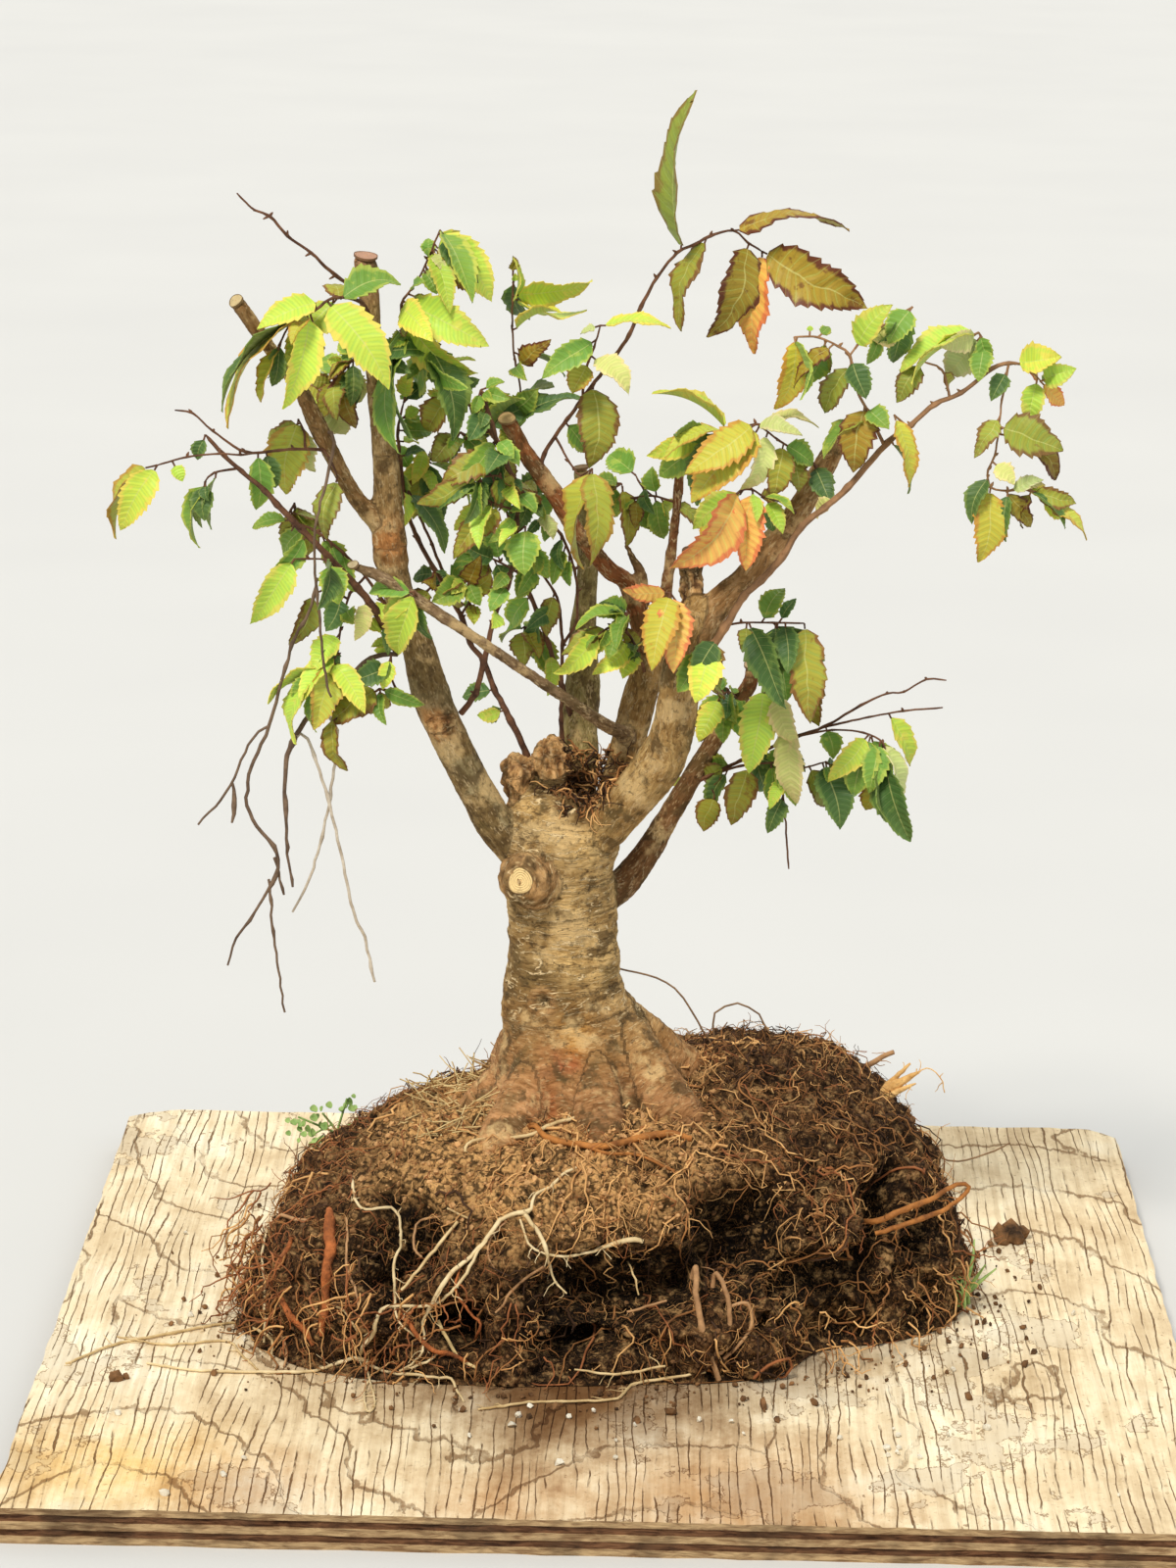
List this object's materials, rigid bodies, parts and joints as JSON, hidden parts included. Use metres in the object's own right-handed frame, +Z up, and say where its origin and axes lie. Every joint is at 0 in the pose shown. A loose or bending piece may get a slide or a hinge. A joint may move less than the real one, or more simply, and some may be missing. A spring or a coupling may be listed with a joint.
{
  "type": "zelkova bonsai on a board",
  "caption": "Field-dug zelkova bonsai with cut-back limbs and turning leaves, standing on its bare root ball on a square plywood board.",
  "frame": {"origin": "middle of the board's underside", "axes": "+Z up along the trunk; -Y is the front, the side that the picture shows; +X to the right of it"},
  "size_m": [0.406, 0.406, 0.458],
  "materials": {
    "board": "weathered plywood, matt",
    "bark": "living bark, grey olive to light tan, matt",
    "soil": "dark crumbly soil full of fine brown root fibres, fully rough",
    "weed": "fresh green leaf",
    "orange_root": "orange brown root skin",
    "pale_root": "cream root skin",
    "rusty_root": "rusty red root skin",
    "dead_twig": "dry twig, bleached in places",
    "green_leaf": "living leaf, lime to dark green with yellow edges",
    "autumn_leaf": "turning leaf, yellow to olive with brown edges"
  },
  "bodies": {
    "root": {"stand_board": "board", "trunk_and_limbs": "bark", "soil_ball": "soil", "weed_seedling": "weed", "grass_tuft": "weed", "orange_root": "orange_root", "straw_root": "pale_root", "pale_roots": "pale_root", "far_left_root": "pale_root", "front_root": "pale_root", "brown_loop_roots": "orange_root", "rusty_root_left": "rusty_root", "rusty_root_low_left": "rusty_root", "right_loop_root": "orange_root", "cut_root_right": "pale_root", "cut_root_back": "orange_root", "back_root": "rusty_root", "outer_dead_twigs": "dead_twig", "inner_dead_twigs": "dead_twig", "budded_twig": "dead_twig", "crown_left_shoot": "green_leaf", "crown_back_shoot": "green_leaf", "far_left_shoot": "green_leaf", "long_left_shoot": "green_leaf", "thin_left_shoot": "green_leaf", "knot_leaf_shoot": "green_leaf", "crossing_branch_leaf": "green_leaf", "knot_shoot": "green_leaf", "crotch_shoot": "green_leaf", "inner_red_shoot": "green_leaf", "back_limb_shoot": "green_leaf", "spur_shoot": "green_leaf", "middle_shoot": "green_leaf", "low_right_tip_shoot": "green_leaf", "low_right_inner_shoot": "green_leaf", "low_right_shoot": "green_leaf", "right_leaf_twig": "green_leaf", "long_top_shoot": "autumn_leaf", "yellow_cluster_shoot": "autumn_leaf", "orange_cluster_shoot": "autumn_leaf", "hooded_shoot": "autumn_leaf", "arching_shoot": "autumn_leaf"}
  },
  "joints": []
}
